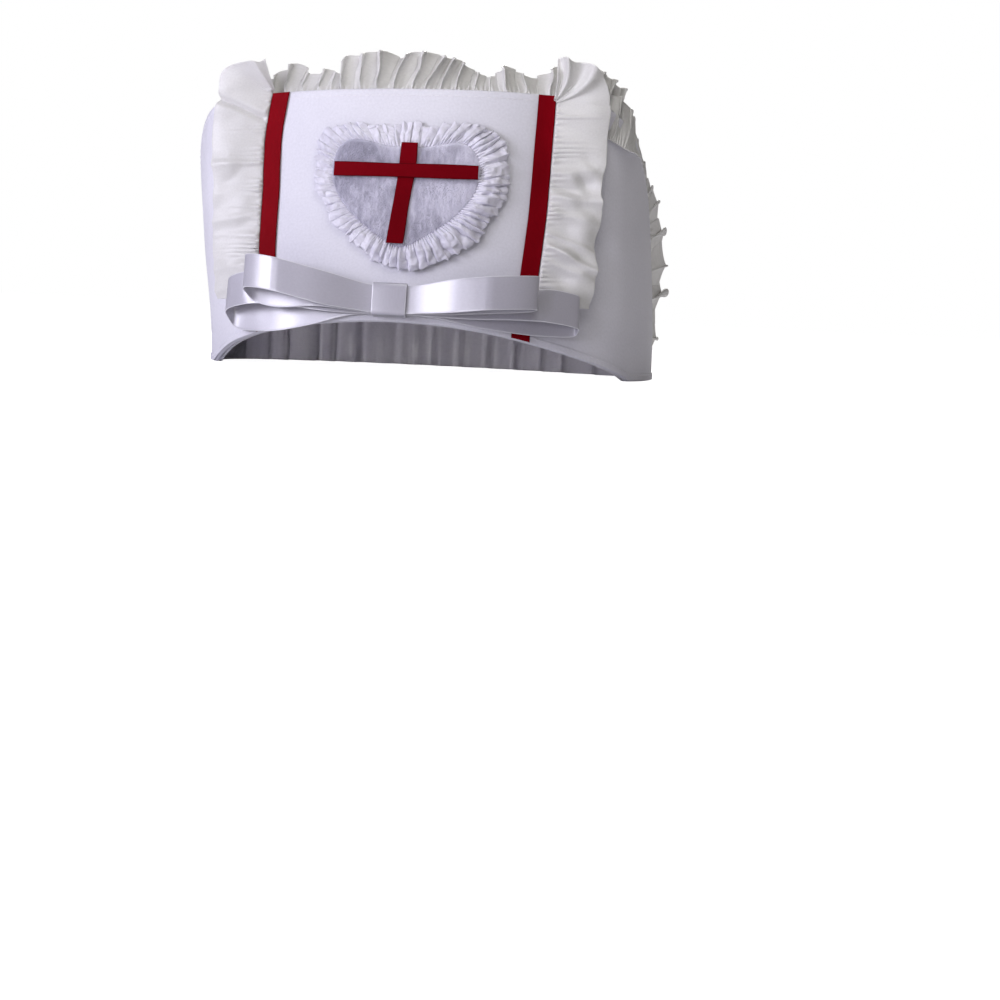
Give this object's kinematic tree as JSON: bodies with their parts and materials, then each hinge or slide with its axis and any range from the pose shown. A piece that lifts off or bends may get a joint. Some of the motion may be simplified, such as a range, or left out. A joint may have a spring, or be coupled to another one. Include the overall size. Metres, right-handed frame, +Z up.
{
  "type": "nurse cap",
  "caption": "Soft white nurse cap with a tall stiff cuff, gathered ruffles, red ribbon stripes, a frilled plush heart and a flat satin bow.",
  "frame": {"origin": "on the table under the middle of the cap's box", "axes": "+Z up, the front of the cap faces -Y, +X is to the viewer's right"},
  "size_m": [0.24, 0.22, 0.1566],
  "materials": {
    "cuff_cotton": "stiffened cotton twill, matt, faint lilac white",
    "crown_cotton": "plain soft cotton, matt",
    "ruffle_satin": "soft gathered satin, dull sheen",
    "red_satin": "red satin ribbon, low sheen",
    "short_plush": "short-pile plush",
    "frill_organza": "crimped sheer trim",
    "bow_satin": "white satin ribbon, clear sheen"
  },
  "bodies": {
    "root": {"cuff": "cuff_cotton", "crown": "crown_cotton", "top_ruffle": "ruffle_satin", "edge_ruffle_left": "ruffle_satin", "edge_ruffle_right": "ruffle_satin", "side_ruffle_left": "ruffle_satin", "side_ruffle_right": "ruffle_satin", "ribbon_left": "red_satin", "ribbon_right": "red_satin", "heart_patch": "short_plush", "heart_frill": "frill_organza", "cross_upright": "red_satin", "cross_bar": "red_satin", "bow_upper": "bow_satin", "bow_lower": "bow_satin", "bow_knot": "bow_satin"}
  },
  "joints": []
}
